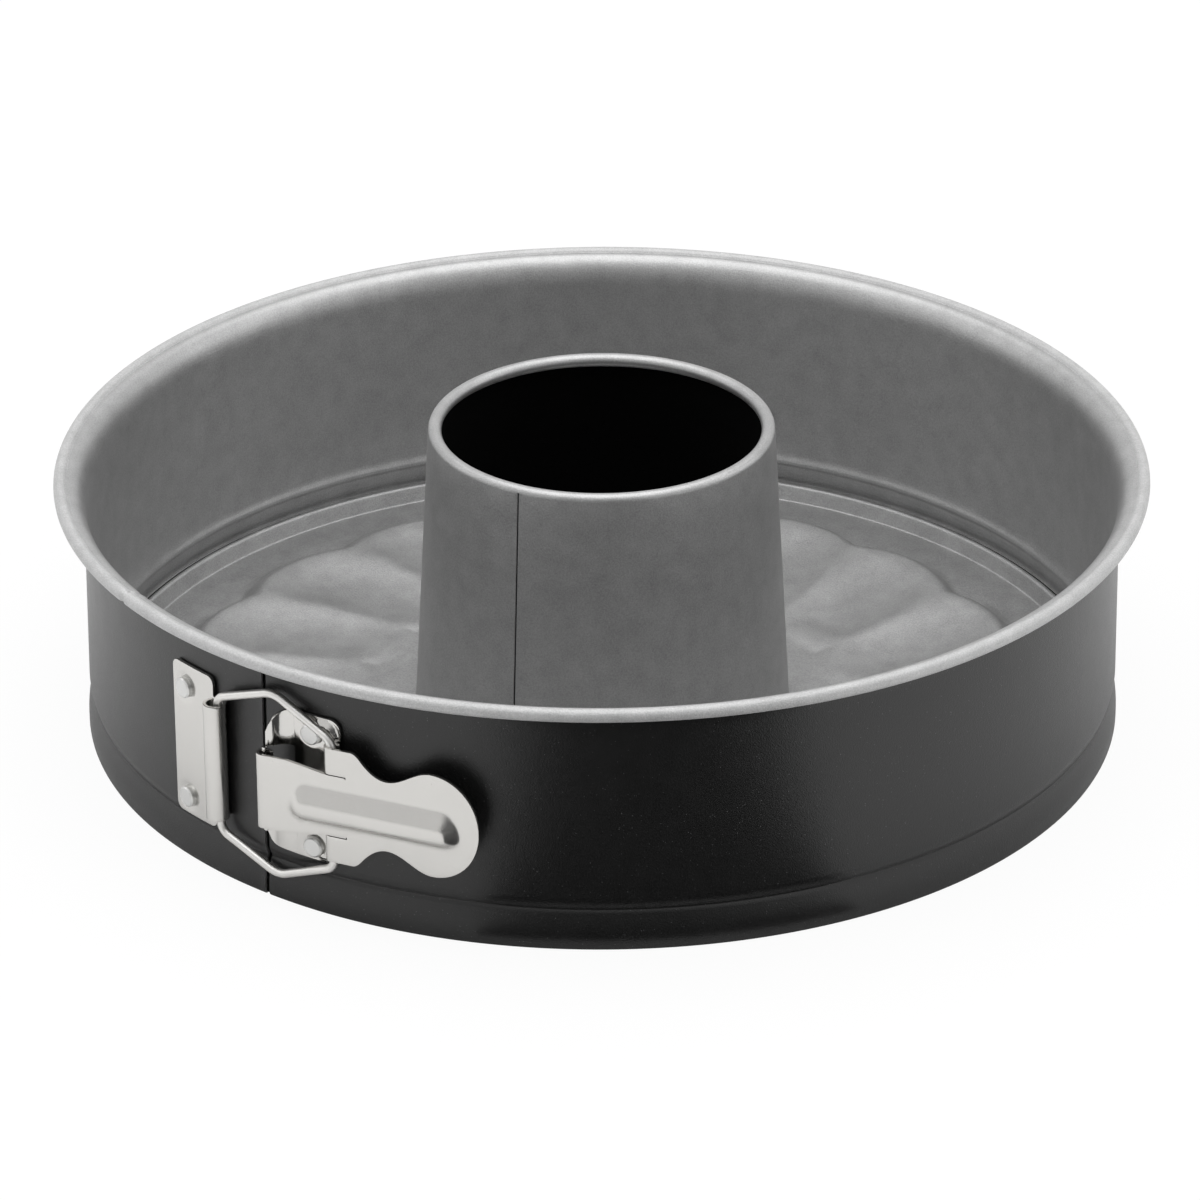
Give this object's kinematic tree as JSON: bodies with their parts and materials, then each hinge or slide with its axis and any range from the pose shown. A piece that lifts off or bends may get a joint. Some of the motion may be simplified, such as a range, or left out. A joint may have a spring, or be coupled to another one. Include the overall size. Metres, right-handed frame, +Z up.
{
  "type": "springform savarin pan",
  "caption": "Round springform ring pan: a lapped metal ring with an over-centre clamp stands around a loose base with a petal pattern and a tapered centre tube.",
  "frame": {"origin": "on the ring's axis, in the plane the pan stands on", "axes": "+Z up along the ring's axis; -Y points out through the seam in the ring, where the clamp is; +X is to the right for someone facing the clamp"},
  "size_m": [0.274, 0.2748, 0.0774],
  "materials": {
    "coated_inside": "satin grey non-stick coating on thin steel",
    "coated_outside": "dark satin non-stick coating with a fine sparkle on thin steel, grey on the inside",
    "clamp_steel": "satin nickel-plated steel"
  },
  "bodies": {
    "base": {"base_plate": "coated_inside", "tube": "coated_inside"},
    "ring_back": {"band_back": "coated_outside"},
    "ring_left": {"band_left": "coated_outside", "hinge_plate": "clamp_steel", "hinge_plate_rivets": "clamp_steel"},
    "ring_right": {"band_right": "coated_outside", "bracket": "clamp_steel", "bracket_rivets": "clamp_steel"},
    "lever": {"clamp_lever": "clamp_steel"},
    "bail": {"wire_bail": "clamp_steel"}
  },
  "joints": [
    {"name": "ring_lift", "type": "slide", "parent": "base", "child": "ring_back", "axis": [0, 0, 1], "range_m": [0, 0.08]},
    {"name": "ring_left_spring", "type": "hinge", "parent": "ring_back", "child": "ring_left", "pos_m": [-0.11865, 0.0685, 0.033], "axis": [0, 0, -1], "range_deg": [0, 4.2]},
    {"name": "ring_right_spring", "type": "hinge", "parent": "ring_back", "child": "ring_right", "pos_m": [0.11865, 0.0685, 0.033], "axis": [0, 0, 1], "range_deg": [0, 4.2]},
    {"name": "clamp_lever_turn", "type": "hinge", "parent": "ring_right", "child": "lever", "pos_m": [0.00368, -0.13575, 0.0328], "axis": [0, 0, -1], "range_deg": [0, 165]},
    {"name": "wire_bail_turn", "type": "hinge", "parent": "lever", "child": "bail", "pos_m": [0.02094, -0.13154, 0.0321], "axis": [0, 0, 1], "range_deg": [0, 137]}
  ],
  "couplings": [
    {"joint": "ring_left_spring", "follows": "clamp_lever_turn", "ratio": 0.024603},
    {"joint": "ring_right_spring", "follows": "clamp_lever_turn", "ratio": 0.024603},
    {"joint": "wire_bail_turn", "follows": "clamp_lever_turn", "ratio": 0.82712}
  ]
}
